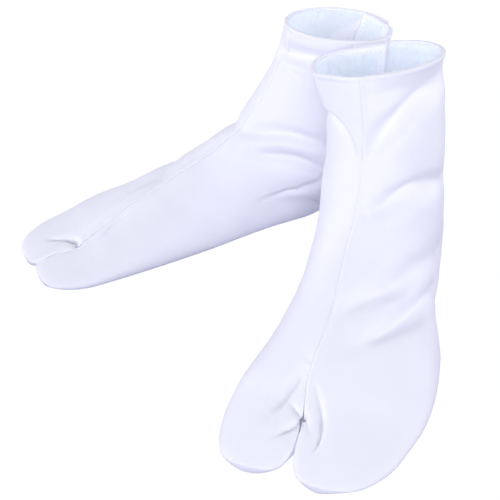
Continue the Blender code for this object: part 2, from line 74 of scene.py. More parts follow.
# One row per cross-section from the rim down to the split. Each section lies in the plane
# through its front point (on the front seam) and its back point (heel or sole).
#   front_x, front_z, back_x, back_z
#   seam_y, medial_y, lateral_y   the seam and the widest point of each side
#   widest, roundness             share of the height where it is widest, and fullness
#   sole_m, sole_l                half widths of the sole
#   crest                         how far the toe mounds rise above the seam
#   tilt                          sideways slope of the section, up towards the lateral side
SECTIONS = {
    "left": [
        (6.8, 16.1, -1.6, 14.7, -1.1, -4.9, 3.15, .50, 2.05, 0, 0, 0, .19),
        (7.1, 14.3, -1.5, 12.5, -.8, -4.2, 3.45, .50, 2.1, 0, 0, 0, .16),
        (7.3, 12.5, -1.0, 10.1, -.55, -3.6, 3.85, .50, 2.1, 0, 0, 0, .04),
        (7.7, 10.4, -.5, 6.6, -.4, -3.5, 4.2, .48, 2.1, 0, 0, 0, 0),
        (8.3, 8.7, -.15, 3.4, -.4, -3.6, 4.5, .42, 2.1, 0, 0, 0, 0),
        (9.1, 7.3, .3, 1.15, -.45, -3.6, 4.7, .38, 2.1, 0, 0, 0, 0),
        (9.6, 6.8, 1.2, 0, -.5, -3.6, 4.8, .37, 2.1, 2.2, 2.3, 0, 0),
        (10.6, 6.1, 2.6, 0, -.5, -3.6, 4.9, .36, 2.1, 2.3, 2.5, 0, 0),
        (13.0, 5.0, 6.8, 0, -.45, -3.5, 5.3, .34, 2.1, 2.6, 3.0, 0, 0),
        (15.6, 4.0, 12.0, 0, -.45, -3.9, 6.3, .31, 2.08, 3.3, 4.4, 0, 0),
        (18.6, 2.62, 17.6, 0, -.62, -4.8, 6.35, .32, 2.1, 4.0, 4.9, .02, 0),
        (19.7, 1.96, 19.4, 0, -.42, -4.95, 6.0, .35, 2.1, 4.2, 4.8, .07, 0),
        (20.4, 1.52, 20.4, 0, -.27, -5.0, 5.6, .38, 2.1, 4.3, 4.6, .20, 0)],
    "right": [
        (4.3, 14.4, -3.0, 13.7, -.4, -4.2, 3.5, .44, 2.0, 0, 0, 0, -.08),
        (4.7, 13.2, -2.4, 12.0, -.25, -4.4, 2.8, .46, 2.05, 0, 0, 0, -.06),
        (5.2, 11.7, -1.3, 9.8, -.15, -4.1, 2.7, .49, 2.08, 0, 0, 0, -.01),
        (6.3, 9.6, -.5, 6.4, -.1, -3.9, 3.3, .48, 2.1, 0, 0, 0, 0),
        (7.6, 7.95, -.15, 3.4, -.1, -3.8, 3.8, .42, 2.1, 0, 0, 0, 0),
        (8.7, 6.95, .3, 1.15, -.1, -3.6, 4.2, .38, 2.1, 0, 0, 0, 0),
        (9.2, 6.6, 1.2, 0, -.1, -3.4, 4.4, .38, 2.1, 2.2, 2.3, 0, 0),
        (10.2, 5.95, 2.6, 0, -.1, -3.1, 4.6, .37, 2.1, 2.3, 2.5, 0, 0),
        (12.9, 4.75, 6.8, 0, -.1, -3.2, 4.6, .34, 2.1, 2.5, 3.0, 0, 0),
        (15.8, 3.6, 12.0, 0, -.2, -4.0, 4.7, .31, 2.05, 3.2, 3.8, 0, 0),
        (18.6, 2.32, 17.6, 0, -.60, -4.4, 5.0, .32, 2.08, 3.8, 4.2, .02, 0),
        (20.8, 1.3, 20.8, 0, -.95, -4.5, 4.45, .36, 2.1, 4.0, 3.95, .15, 0)]}

# One row per toe mound: tip_x, tip_y, fullness of the split side and of the outer side,
# how far along the mounds touch, height of the tip's foremost point, widest share, inset of
# the sole's edge under the tip
TOES = {
    ("left", "medial"): (24.1, -2.68, .95, 1.5, .20, .80, .42, .40),
    ("left", "lateral"): (24.35, 1.75, 1.0, 2.3, .21, .80, .42, .40),
    ("right", "medial"): (24.0, -2.65, .55, 1.95, .45, .70, .42, .40),
    ("right", "lateral"): (24.3, .35, .75, 2.3, .45, .70, .42, .40)}
CROTCH_ROWS = 3          # the split's first rows get no painted glow between the toes, so they stay dark
SPLIT_FULLNESS = 16.0    # the toes fill out towards each other, so they touch high up
SPLIT_OPENING = .72      # how quickly they part where they no longer touch
SPLIT_DRIFT = {"left": 0.0, "right": .35}   # how far their meeting line runs sideways
SPLIT_EDGE = .96         # how near their floor edge comes to their widest point
MOUND_ROUNDNESS = 2.15
MOUND_SLOPE = .5         # 0: the top of a mound starts level, 1: it falls straight
RING_SMOOTHING = 45      # rounds of evening out where the toe mounds start
RING_REACH = 1.3         # how far to each side they work

# Where each sock stands: heel position, heading of the toes, and how far each flap runs past
# the middle of the back (the lateral flap outside, the medial flap under it)
STANCE = {
    "left": {"at": (9.48, 7.18), "heading": -1.8796, "lateral_flap": 3.2, "medial_flap": -1.0},
    "right": {"at": (6.58, 13.90), "heading": -2.7231, "lateral_flap": .8, "medial_flap": 1.5}}
CENTRE = (-1.750, 0.159)   # middle of the pair's footprint

# Folds round the shaft and over the foot, one row each: depth (a trough is negative), width,
# crispness (2 is a soft trough, 1 a sharp one), lean (1: steep on its right-hand side),
# height and overlap of the roll on its left-hand side, and its line as (station, side)
# points; side runs from -1 at the back over the medial side to 0 at the front seam and to 1
# at the back over the lateral side
FOLDS = {
    "left": [
        (-1.25, .66, 1.8, .1, .14, 0, ((.8, .5), (.88, .42), (.97, .35), (1.12, .26),
         (1.42, .18), (1.8, .11), (2.2, .06), (2.6, .03))),
        (-.52, .75, 2, 0, 0, 0, ((.64, .05), (.62, .14), (.56, .28), (.52, .42),
         (.5, .6))),
        (-1.05, .66, 1.7, 0, .05, 0, ((4.55, .05), (4.2, .1), (3.94, .14), (3.68, .19),
         (3.41, .25), (3.26, .31), (3.18, .4), (3.1, .52))),
        (-.2, .4, 1.8, 0, 0, 0, ((3.8, .28), (3.52, .36), (3.26, .44))),
        (-.8, .85, 1.9, 0, .02, 0, ((8.5, .05), (8.2, .1), (7.87, .17), (7.59, .24),
         (7.33, .32), (6.85, .4), (5.6, .51))),
        (-1.1, .72, 1.7, 0, .03, 0, ((9.1, .2), (8.8, .26), (8.5, .32), (8.27, .37),
         (8.02, .45), (7.72, .53), (7.42, .62))),
        (-.15, .8, 2, 0, 0, 0, ((7.2, .02), (8, .05), (9, .1), (9.6, .18))),
        (.14, .45, 1.8, 0, 0, 0, ((-.2, -.26), (.5, -.25), (1.2, -.22))),
        (.1, .4, 1.6, 0, 0, 0, ((-.2, -.01), (.5, -.01), (1.2, -.01))),
        (-.1, .5, 2, 0, 0, 0, ((-.2, -.13), (.5, -.13), (1.2, -.12))),
        (-.12, .6, 2, 0, 0, 0, ((-.2, -.42), (.5, -.42), (1, -.4))),
        (-.38, .34, 1.3, .4, .12, .1, ((1.1, -.66), (1.28, -.47), (1.38, -.31),
         (1.46, -.18), (1.8, -.11), (2.25, -.06), (3.2, -.02))),
        (-.26, .4, 1.5, 0, 0, 0, ((1.5, -.7), (1.58, -.5), (1.64, -.36), (1.62, -.24))),
        (-.1, .5, 2, 0, 0, 0, ((9, -.06), (9.9, -.13), (10.7, -.22))),
        (-.2, .75, 2, 0, 0, 0, ((5.6, -.45), (4.7, -.6), (3.9, -.8))),
        (-.18, .7, 2, 0, 0, 0, ((2.9, -.35), (2.6, -.6), (2.2, -.8))),
        (-.14, .5, 1.8, 0, 0, 0, ((4.6, .62), (5, .74), (5.1, .88))),
        (-.16, .55, 1.8, 0, 0, 0, ((1.6, .64), (1.9, .76), (2.1, .9)))],
    "right": [
        (-1.25, .5, 1.8, -.2, .08, 0, ((1.34, .02), (1.3, -.04), (1.24, -.1),
         (1.19, -.17), (1.1, -.23), (.98, -.32), (.8, -.42))),
        (.12, .32, 1.8, 0, 0, 0, ((1.65, -.05), (1.5, -.14), (1.25, -.24), (1, -.34))),
        (-.3, .6, 1.7, 0, 0, 0, ((4.5, .02), (4.55, .1), (4.5, .25), (4.3, .5))),
        (-.22, .55, 1.7, 0, 0, 0, ((8.5, .02), (8.3, .12), (8, .28), (7.6, .5))),
        (-.24, .8, 2, 0, 0, 0, ((9.3, .22), (8.8, .2), (8.4, .17), (8, .16))),
        (.16, .8, 2, 0, 0, 0, ((6, .04), (6.6, .08), (7.2, .1), (7.8, .12))),
        (-.2, .26, 1.6, 0, 0, 0, ((1.75, -.04), (1.9, -.12), (2, -.22))),
        (-.8, .46, 1.7, -.2, .04, 0, ((4.42, -.05), (4.18, -.11), (3.91, -.17),
         (3.72, -.24), (3.58, -.33), (3.56, -.4), (3.5, -.52))),
        (.14, .34, 1.8, 0, 0, 0, ((4.2, -.1), (4, -.2), (3.82, -.3), (3.7, -.42))),
        (-.84, .44, 1.6, 0, .04, 0, ((5.05, -.16), (4.81, -.23), (4.59, -.3),
         (4.41, -.37), (4.34, -.45), (4.36, -.52), (4.5, -.6))),
        (-.26, .34, 1.5, .3, .06, 0, ((4.3, -.62), (4.86, -.57), (5.64, -.5),
         (6.83, -.54), (7.3, -.55))),
        (-.18, .65, 2, 0, 0, 0, ((7.6, -.62), (6.4, -.7), (5.2, -.8), (4.6, -.88))),
        (-.2, .75, 2, 0, 0, 0, ((6.9, .45), (5.6, .55), (4.8, .72))),
        (-.14, .5, 1.8, 0, 0, 0, ((1.5, .3), (1.7, .5), (1.6, .72)))]}

# Folds that run into the split between the toes, with lines as (x, y) points in plan
TOE_FOLDS = {
    "left": [
        (-.52, .42, 1.8, 0, .06, 0, ((17.4, -.8), (18.5, -1.17), (19.2, -1.5),
         (19.9, -1.8), (20.8, -2.1))),
        (-.3, .16, 1.2, 0, .03, 0, ((19.9, -1.2), (20.1, -.92), (20.3, -.6),
         (20.6, -.2))),
        (-.36, .17, 1.4, 0, .03, 0, ((20.6, -.25), (21.1, -.6), (21.5, -1),
         (22.1, -1.5))),
        (-.36, .2, 1.5, .3, .03, 0, ((22.4, .88), (22, .93), (21.2, .94), (20.4, .77),
         (19.6, .44), (18.8, -.02))),
        (-.14, .13, 1.4, 0, 0, 0, ((20.6, -.13), (21.05, .15), (21.5, .55))),
        (-.3, .22, 1.8, 0, 0, 0, ((20.1, -.3), (20.45, -.25), (20.8, -.3)))],
    "right": [
        (-.85, .25, 1.8, 0, .08, .16, ((20.7, -.9), (20.8, -.2), (21, .2), (21.3, .5),
         (21.8, .72), (22.2, .85))),
        (-.2, .16, 1.4, 0, .03, 0, ((23.1, -.8), (22.6, -.82), (22.1, -.88), (21.5, -1.1),
         (21, -1))),
        (-.38, .14, 1.4, 0, .13, .08, ((21.1, -1.55), (20.5, -1.65), (19.7, -1.71),
         (19, -1.59), (18.3, -1.2), (17.3, -.95))),
        (-.1, .35, 1.8, 0, 0, 0, ((22.5, -.16), (21.4, -.11), (19.9, .14), (18, .38)))]}

FOLD_REACH = 3           # a fold moves the cloth as far as this many widths away
ROLL_AT, ROLL_WIDE = 1.1, .7     # where its roll lies beside it and how wide, in widths
FOLD_ENDS = .05          # share of its line at each end where it fades no further
# Slow waves all over the cloth: height, (x, y, z, shift) of one wave and of its partner
UNEVEN = ((.022, (1.15, .6, .9, 0), (0, .95, -.7, 1.3)),
          (.014, (-1.3, 0, 2.1, .4), (1.1, 1.7, 0, 0)))
UNEVEN_FROM, UNEVEN_RISE = .3, 1.5   # none on the floor, all of it this much higher

ARC = np.linspace(0, np.pi/2, 73)


def half_section(seam, wide, edge, share, roundness, crest=0.0):
    """Across (y) and up (share of the height) from the seam over one side to the sole."""
    over = np.sin(ARC)**(2/roundness)
    y = np.r_[seam+(wide-seam)*over, edge+(wide-edge)*np.cos(ARC[1:])]
    dome = share+(1-share)*np.cos(ARC)**(2/roundness)
    dome += crest*np.sin(np.pi*np.clip(over, 0, 1))
    up = np.r_[dome, share*(1-np.sin(ARC[1:]))]
    return y, up


def section_spline(sock):
    """The sections' values at any station, on a smooth curve through the table, and how far
    each station lies from the rim."""
    rows = np.array(SECTIONS[sock], float)
    reach = (np.linalg.norm(np.diff(rows[:, 0:2], axis=0), axis=1)
             + np.linalg.norm(np.diff(rows[:, 2:4], axis=0), axis=1))/2
    slope = np.diff(rows, axis=0)/reach[:, None]
    tangent = np.vstack([slope[:1], (slope[:-1]*reach[1:, None]+slope[1:]*reach[:-1, None])
                         / (reach[1:]+reach[:-1])[:, None], slope[-1:]])

    def at(station):
        k = min(int(station), len(rows)-2)
        t = station-k
        row = ((2*t**3-3*t*t+1)*rows[k]+(t**3-2*t*t+t)*reach[k]*tangent[k]
               + (3*t*t-2*t**3)*rows[k+1]+(t**3-t*t)*reach[k]*tangent[k+1])
        if station >= HEEL_STATION:
            row[3] = 0
            turn = np.clip((rows[HEEL_STATION, 2]+HEEL_ROUND-row[2])/HEEL_ROUND, 0, 1)
            row[9:11] *= np.sqrt(1-turn**2)
        else:
            row[3] = max(row[3], 0)
            row[9:11] = 0
        return row
    return at, np.r_[0, np.cumsum(reach)]


def ring_curve(row):
    """One whole section as a dense curve: signed distance from the seam, points, and the
    outward direction in the section's plane. Distance is positive on the lateral side."""
    fx, fz, bx, bz, seam, med, lat, share, full, sole_m, sole_l, crest, tilt = row
    front, back = np.array([fx, 0, fz]), np.array([bx, 0, bz])
    rise = front-back
    axis = rise/np.linalg.norm(rise)
    sides = []
    for wide, edge in ((med, -sole_m), (lat, sole_l)):
        y, up = half_section(seam, wide, edge, share, full, max(crest, 0))
        p = back+up[:, None]*rise
        p[:, 1] = y
        p[:, 0] -= axis[2]*tilt*(y-seam)
        p[:, 2] += axis[0]*tilt*(y-seam)
        sides.append(p)
    far = [np.r_[0, np.cumsum(np.linalg.norm(np.diff(p, axis=0), axis=1))] for p in sides]
    points = np.vstack([sides[0][::-1], sides[1][1:]])
    dist = np.r_[-far[0][::-1], far[1][1:]]
    along = np.gradient(points, axis=0)
    plane = np.cross(axis, (0, 1, 0))
    out = np.cross(along, plane)
    out /= np.linalg.norm(out, axis=1)[:, None]+1e-12
    return dist, points, out


def at_distance(curve, s):
    """Points of a section at signed distances; past the back it carries on round."""
    dist, points, out = curve
    low, high = dist[0], dist[-1]
    s = np.where(s > high, low+(s-high), s)
    s = np.where(s < low, high-(low-s), s)
    return [np.stack([np.interp(s, dist, a[:, i]) for i in range(3)], 1)
            for a in (points, out)]


def ease(t):
    t = np.clip(t, 0, 1)
    return t*t*(3-2*t)


def panel_tube(sock, side):
    """The panel's part of the shaft and foot: one row of points per section, each row's
    distances from the front seam, its station and its distance from the rim."""
    at, down = section_spline(sock)
    heel = down[HEEL_STATION]
    body = np.arange(RIM_ROWS[-1]+ROW_STEP, down[-1]-ROW_STEP/2, ROW_STEP)
    body = body[(body < heel-ROW_STEP/3) | (body > heel+HEEL_ROWS[-1]+ROW_STEP/3)]
    depth = np.sort(np.r_[RIM_ROWS, body, heel+HEEL_ROWS, down[-1]])
    station = np.interp(depth, down, np.arange(len(down)))
    sign = 1 if side == "lateral" else -1
    near = EDGE_STEP*np.arange(EDGE_COLUMNS)
    grid, run, length = [], [], []
    for u in station:
        curve = ring_curve(at(u))
        own = abs(curve[0][-1] if sign > 0 else curve[0][0])
        open_here = np.clip((OPENING_STATION-u)/FLAP_TAPER, 0, 1)**.8
        past = {k: STANCE[sock][k+"_flap"]*open_here for k in ("lateral", "medial")}
        reach = own+past[side]
        end = HEM_INSET+(SEAM_INSET-HEM_INSET)*ease((u-OPENING_STATION+.2)/.4)
        first, last = SEAM_INSET+near, reach-end-near[::-1]
        s = np.r_[first, np.linspace(first[-1], last[0], MIDDLE_COLUMNS+2)[1:-1], last]
        p, out = at_distance(curve, sign*s)
        lifted = np.clip((OPENING_STATION-u)*3+1, 0, 1)
        other = "medial" if side == "lateral" else "lateral"
        begin = own-past[other]-FLAP_BEFORE
        p += sign*out*(FLAP_STEP*lifted*ease((s-begin)/FLAP_RISE))[:, None]
        grid.append(p)
        run.append(s)
        length.append(reach)
    return {"grid": np.array(grid), "run": np.array(run), "length": np.array(length),
            "station": station, "depth": depth}


def toe_mound(sock, side, half):
    """The toe mound that starts at the panel's last section: rows of points from the
    split's floor edge over the top to the outer floor edge, closing on the tip. The first
    rows carry the last section on and melt into the mound's own dome."""
    tip_x, tip_y, full_in, full_out, touch, nose, share, inset = TOES[sock, side]
    sign = 1 if side == "lateral" else -1
    seam = half[0]
    web = np.linspace((seam[0]+SEAM_INSET, seam[1], SEAM_INSET), seam, WEB_COLUMNS+1)
    web[:, 0] = seam[0]+SEAM_INSET*(1-np.linspace(0, 1, WEB_COLUMNS+1)**4)
    first = np.vstack([web, half[1:]])
    gone = np.r_[0, np.cumsum(np.linalg.norm(np.diff(first, axis=0), axis=1))]
    shares = gone/gone[-1]
    wide = half[np.argmax(np.abs(half[:, 1]-seam[1]))]
    top = half[:, 2].max()
    inner, outer = seam[:2]+(0, sign*.006), wide[:2]
    middle, reach = (inner+outer)/2, (outer-inner)/2
    foot_tip = np.array([tip_x-inset, tip_y])
    outer_edge = abs(half[-1, 1]-middle[1])/abs(reach[1])
    rows = [first]
    for r in range(1, TOE_ROWS):
        t = r/TOE_ROWS
        s = np.sin(t*np.pi/2)
        ends = []
        meet = inner+(0, SPLIT_DRIFT[sock]*s)
        for start, full, wait, quick in ((meet, full_in, touch, SPLIT_OPENING),
                                         (outer, full_out, 0, 1)):
            away = np.cos((max(t-wait, 0)/(1-wait))**quick*np.pi/2)**full
            ends.append(np.array([start[0]+(foot_tip[0]-start[0])*s,
                                  start[1]+(foot_tip[1]-start[1])*(1-away)]))
        centre, half_width = (ends[0]+ends[1])/2, (ends[1]-ends[0])/2
        a = np.pi*t
        if t < .5:
            fall = (1-MOUND_SLOPE)*np.cos(a)+MOUND_SLOPE*(1-np.sin(a))
            ridge = (middle[0]+(tip_x-middle[0])*np.sin(a), nose+(top-nose)*fall)
        else:
            ridge = (foot_tip[0]+inset*np.sin(a), nose*(1+np.cos(a)))
        crown = np.array([max(ridge[0], centre[0]+.02), centre[1], ridge[1]])
        foot = np.array([centre[0], centre[1], 0])
        curve = []
        tight = MOUND_ROUNDNESS+SPLIT_FULLNESS*(1-t)**4
        for way, edge, full in ((-1, SPLIT_EDGE, tight), (1, outer_edge, MOUND_ROUNDNESS)):
            across, up = half_section(0, 1, edge, share, full)
            p = foot+up[:, None]*(crown-foot)
            p[:, :2] += way*across[:, None]*half_width
            curve.append(p)
        line = np.vstack([curve[0][::-1], curve[1][1:]])
        run = np.r_[0, np.cumsum(np.linalg.norm(np.diff(line, axis=0), axis=1))]
        pull = min(SEAM_INSET, run[-1]*.1)
        where = pull+shares*(run[-1]-2*pull)
        dome = np.stack([np.interp(where, run, line[:, k]) for k in range(3)], 1)
        across = np.maximum((first[:, 1]-middle[1])/reach[1], -1)
        up = first[:, 2]/top
        carried = foot+up[:, None]*(crown-foot)
        carried[:, :2] += across[:, None]*half_width
        melt = ease(t/.5)
        rows.append(carried*(1-melt)+dome*melt)
    tip = np.array([foot_tip[0]-SEAM_INSET, foot_tip[1], 0.0])
    return np.array(rows), tip, gone


def even_ring(tube, mound):
    """Evens out the cloth where the toe mounds start, column by column."""
    grid, web = tube["grid"], WEB_COLUMNS
    count = len(grid)
    strip = np.vstack([grid, mound[1:, web:]])
    beyond = np.arange(1, len(mound))*MOUND_REACH/TOE_ROWS
    away = np.r_[tube["depth"]-tube["depth"][-1], beyond]
    weight = np.exp(-(away/RING_REACH)**4)[1:-1, None, None]
    smooth = strip.copy()
    for _ in range(RING_SMOOTHING):
        mean = (smooth[:-2]+2*smooth[1:-1]+smooth[2:])/4
        smooth[1:-1] += (mean-smooth[1:-1])*weight
    smooth[:, -1, 2] = strip[:, -1, 2]
    shift = (smooth-strip)[count-1:, 0]
    tube["grid"] = smooth[:count]
    mound = mound.copy()
    mound[0, web:] = smooth[count-1]
    mound[1:, web:] = smooth[count:]
    mound[:, :web] += shift[:, None]*(np.arange(web)/web)[None, :, None]
    return mound


def vertex_normals(points, faces):
    """Outward normals; a face is four points, the last two alike on a triangle."""
    f = np.array(faces)
    n = np.cross(points[f[:, 2]]-points[f[:, 0]], points[f[:, 3]]-points[f[:, 1]])
    total = np.zeros_like(points)
    for k in range(4):
        np.add.at(total, f[:, k], n)
    return total/(np.linalg.norm(total, axis=1)[:, None]+1e-12)


def panel_mesh(tube, mound, tip, gone):
    """Points, faces and pattern coordinates of a panel: the tube's rows, the toe mound's
    rows, then a fan to the tip."""
    count, wide = tube["grid"].shape[:2]
    web = WEB_COLUMNS
    points = list(tube["grid"].reshape(-1, 3))
    spread = [(s, d) for row, d in zip(tube["run"], tube["depth"]) for s in row]
    index = np.arange(count*wide).reshape(count, wide)
    faces = [(index[r, c], index[r+1, c], index[r+1, c+1], index[r, c+1])
             for r in range(count-1) for c in range(wide-1)]
    before = [len(points)+k for k in range(web)]+list(index[-1])
    points += list(mound[0, :web])
    spread += [(g-gone[web], tube["depth"][-1]) for g in gone[:web]]
    mound_rows = [before]
    for r in range(1, len(mound)):
        now = [len(points)+k for k in range(web+wide)]
        points += list(mound[r])
        far = tube["depth"][-1]+r*MOUND_CLOTH/TOE_ROWS
        spread += [(g-gone[web], far) for g in gone]
        faces += [(before[k], now[k], now[k+1], before[k+1]) for k in range(web+wide-1)]
        before = now
        mound_rows.append(now)
    points.append(tip)
    spread.append((gone[-1]/2, tube["depth"][-1]+MOUND_CLOTH))
    last = len(points)-1
    faces += [(before[k], last, before[k+1], before[k+1]) for k in range(web+wide-1)]
    return np.array(points), faces, np.array(spread), index, mound_rows


def fold_push(points, normals, line, flat, fold):
    """How every point moves for one fold: in or out, and across towards the crease where
    the cloth rolls over it. A flat line is compared in plan, on upward cloth only."""
    depth, width, crisp, lean, roll, lap = fold
    push = np.zeros_like(points)
    reach = width*FOLD_REACH
    axes = slice(0, 2) if flat else slice(0, 3)
    low, high = line.min(0)[axes]-reach, line.max(0)[axes]+reach
    close = np.all((points[:, axes] > low) & (points[:, axes] < high), axis=1)
    if not close.any():
        return push
    p, n = points[close], normals[close]
    a, b = line[:-1], line[1:]
    if flat:
        a, b = a*(1, 1, 0), b*(1, 1, 0)
        p = p*(1, 1, 0)
    ab = b-a
    t = np.clip(((p[:, None]-a)*ab).sum(-1)/((ab**2).sum(-1)+1e-9), 0, 1)
    foot = a+t[..., None]*ab
    d = np.linalg.norm(p[:, None]-foot, axis=-1)
    k = d.argmin(1)
    each = np.arange(len(p))
    along = (k+t[each, k])/len(a)
    way = ab[k]/np.linalg.norm(ab[k], axis=1)[:, None]
    across = np.cross(way, (0, 0, 1) if flat else n)
    across /= np.linalg.norm(across, axis=1)[:, None]+1e-9
    side = ((p-foot[each, k])*across).sum(1)
    own = width*np.where(side > 0, 1-.6*lean, 1+.3*lean)
    fade = np.sin(np.pi*np.clip(along, FOLD_ENDS, 1-FOLD_ENDS))**.6
    if flat:
        fade = fade*ease((n[:, 2]+.1)/.4)
    trough = depth*np.exp(-(d[each, k]/own)**crisp)
    beside = np.exp(-((side+ROLL_AT*width)/(ROLL_WIDE*width))**2)
    beside *= np.exp(-(np.maximum(d[each, k]-np.abs(side), 0)/width)**2)
    push[close] = n*((trough+roll*beside)*fade)[:, None]+across*(lap*beside*fade)[:, None]
    return push


def smooth_line(path):
    """A given line with soft bends: its points with four steps between each."""
    path = np.array(path, float)
    at = np.arange(len(path))
    fine = np.linspace(0, len(path)-1, 5*(len(path)-1)+1)
    line = np.stack([np.interp(fine, at, path[:, k]) for k in range(path.shape[1])], 1)
    for _ in range(3):
        line[1:-1] = (line[:-2]+2*line[1:-1]+line[2:])/4
    return line


def folded(sock, points, normals):
    """The points with all of their sock's folds, and the soft unevenness of worn cloth."""
    at, _ = section_spline(sock)
    total = np.zeros_like(points)
    for *fold, path in FOLDS[sock]:
        line = []
        for u, v in smooth_line(path):
            curve = ring_curve(at(u))
            reach = curve[0][-1] if v > 0 else -curve[0][0]
            line.append(at_distance(curve, np.array([v*reach]))[0][0])
        total += fold_push(points, normals, np.array(line), False, fold)
    for *fold, path in TOE_FOLDS[sock]:
        line = smooth_line(path)
        total += fold_push(points, normals, np.c_[line, np.zeros(len(line))], True, fold)
    uneven = sum(height*np.sin(points@one[:3]+one[3])*np.sin(points@other[:3]+other[3])
                 for height, one, other in UNEVEN)
    uneven *= ease((points[:, 2]-UNEVEN_FROM)/UNEVEN_RISE)
    moved = points+total+normals*uneven[:, None]
    moved[:, 2] = np.maximum(moved[:, 2], 0)
    return moved


def shell(points, normals, faces, thickness, edge_out, spread):
    """A closed sheet of cloth: the outer side, its copy moved in, and rounded lips along
    every free edge. edge_out is how far each edge point's lip reaches."""
    faces = [tuple(int(i) for i in f) for f in faces]
    seen = {}
    for f in faces:
        corners = f if f[2] != f[3] else f[:3]
        for a, b in zip(corners, corners[1:]+corners[:1]):
            seen[a, b] = True
    follow = {a: b for a, b in seen if (b, a) not in seen}
    start = next(iter(follow))
    loop = [start]
    while follow[loop[-1]] != start:
        loop.append(follow[loop[-1]])
    loop = np.array(loop)
    ring, n = points[loop], normals[loop]
    ahead = np.roll(ring, -1, 0)-ring
    ahead /= np.linalg.norm(ahead, axis=1)[:, None]+1e-9
    edge = np.cross(ahead, n)
    out = edge+np.roll(edge, 1, 0)
    out -= n*(out*n).sum(1)[:, None]
    out /= np.linalg.norm(out, axis=1)[:, None]+1e-9
    turn = np.clip((out*edge).sum(1), .6, 1)
    reach = (edge_out[loop]/turn)[:, None]
    half = (thickness[loop]/2)[:, None]
    middle = ring-n*half
    layers = [points, points-normals*thickness[:, None]]
    count = len(points)
    rings = [loop]
    for k in range(1, LIP_RINGS+1):
        a = np.pi*k/(LIP_RINGS+1)
        up, over = np.sign(np.cos(a))*abs(np.cos(a))**LIP_SQUARE, np.sin(a)**LIP_SQUARE
        layers.append(middle+n*half*up+out*reach*over)
        rings.append(2*count+(k-1)*len(loop)+np.arange(len(loop)))
    rings.append(loop+count)
    made = [f if f[2] != f[3] else f[:3] for f in faces]
    inside = [tuple(i+count for i in f[::-1]) for f in made]
    lips = []
    for a, b in zip(rings[:-1], rings[1:]):
        for k in range(len(loop)):
            j = (k+1) % len(loop)
            lips.append((a[j], a[k], b[k], b[j]))
    spreads = np.vstack([spread, spread]+[spread[loop]+(0, LIP_CLOTH*k)
                                          for k in range(1, LIP_RINGS+1)])
    return np.vstack(layers), made, lips, inside, spreads


def place(points, sock):
    """From the sock's own frame in centimetres to the pair's frame in metres; the right
    sock is mirrored."""
    x, y, z = points.T
    y = y if sock == "left" else -y
    c, s = np.cos(STANCE[sock]["heading"]), np.sin(STANCE[sock]["heading"])
    px, py = STANCE[sock]["at"]
    return np.stack([px+c*x-s*y-CENTRE[0], py+s*x+c*y-CENTRE[1], z], 1)*CM


def put_in_scene(name, data):
    """A new object in the scene with this mesh, lamp or camera."""
    made = bpy.data.objects.new(name, data)
    bpy.context.scene.collection.objects.link(made)
    return made


def add_cloth(name, sock, parts, materials):
    """A mesh object from a shell's parts, with a map in metres on the cloth for patterns;
    materials gives one material for each group of faces."""
    points, groups, spreads = parts
    slots = []
    faces, which = [], []
    for group, material in zip(groups, materials):
        if material not in slots:
            slots.append(material)
        faces += [tuple(int(i) for i in (f[::-1] if sock == "right" else f)) for f in group]
        which += [slots.index(material)]*len(group)
    mesh = bpy.data.meshes.new(name)
    mesh.from_pydata([tuple(p) for p in place(points, sock)], [], faces)
    mesh.update()
    for material in slots:
        mesh.materials.append(material)
    mesh.polygons.foreach_set("material_index", which)
    corner = np.empty(len(mesh.loops), int)
    mesh.loops.foreach_get("vertex_index", corner)
    layer = mesh.uv_layers.new(name="cloth")
    layer.data.foreach_set("uv", (spreads[corner]*CM).ravel())
    mesh.shade_smooth()
    return put_in_scene(name, mesh)


def linear(hex_colour):
    """An sRGB hex colour as linear RGBA."""
    parts = [int(hex_colour[k:k+2], 16)/255 for k in (0, 2, 4)]
    return [c/12.92 if c <= .04045 else ((c+.055)/1.055)**2.4 for c in parts]+[1.0]


def add_node(tree, kind, links=(), values=(), **settings):
    """One node with its settings, its sockets' values and the links that come into it."""
    made = tree.nodes.new(kind)
    for key, value in settings.items():
        setattr(made, key, value)
    for socket, value in dict(values).items():
        made.inputs[socket].default_value = value
    for socket, source in dict(links).items():
        tree.links.new(source, made.inputs[socket])
    return made


def new_material(name, values):
    """A material, its node tree and its shader with these values on the sockets."""
    material = bpy.data.materials.new(name)
    material.use_nodes = True
    shader = material.node_tree.nodes["Principled BSDF"]
    for socket, value in values.items():
        shader.inputs[socket].default_value = value
    return material, material.node_tree, shader


